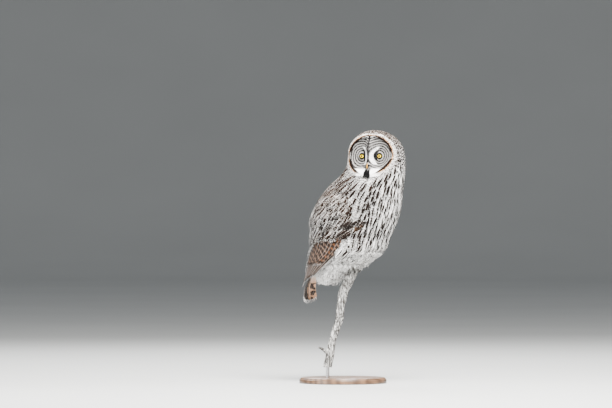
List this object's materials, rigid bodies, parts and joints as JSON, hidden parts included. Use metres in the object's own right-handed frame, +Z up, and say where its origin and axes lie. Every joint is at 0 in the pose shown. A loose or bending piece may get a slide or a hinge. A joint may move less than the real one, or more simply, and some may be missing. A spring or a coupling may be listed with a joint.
{
  "type": "great grey owl",
  "caption": "Life-size museum-style model of a great grey owl perched upright on a cut length of weathered branch, head turned aside, on a plain round display stand",
  "frame": {"origin": "centre of the display stand's flat underside", "axes": "+Z up through the bird; the owl's body faces -Y with its right side towards -X, and its head is turned to its right"},
  "size_m": [0.3, 0.3824, 0.866],
  "materials": {
    "plumage": "soft mottled grey plumage",
    "flight_feathers": "barred dark brown and buff feathers",
    "eye": "wet, yellow iris with a black pupil",
    "bill": "satin yellow horn",
    "claw": "satin black horn",
    "weathered_wood": "bare weathered grey wood",
    "stand_wood": "satin brown wood",
    "stand_steel": "brushed"
  },
  "bodies": {
    "root": {"head": "plumage", "neck": "plumage", "torso": "plumage", "wing_left": "flight_feathers", "wing_right": "flight_feathers", "tail": "flight_feathers", "leg_left": "plumage", "leg_right": "plumage", "foot_left": "plumage", "foot_right": "plumage", "eye_left": "eye", "eye_right": "eye", "bill_upper": "bill", "bill_lower": "bill", "perch": "weathered_wood", "stand_base": "stand_wood", "stand_rod": "stand_steel", "claw_left_1": "claw", "claw_left_2": "claw", "claw_left_3": "claw", "claw_left_4": "claw", "claw_right_1": "claw", "claw_right_2": "claw", "claw_right_3": "claw", "claw_right_4": "claw"}
  },
  "joints": []
}
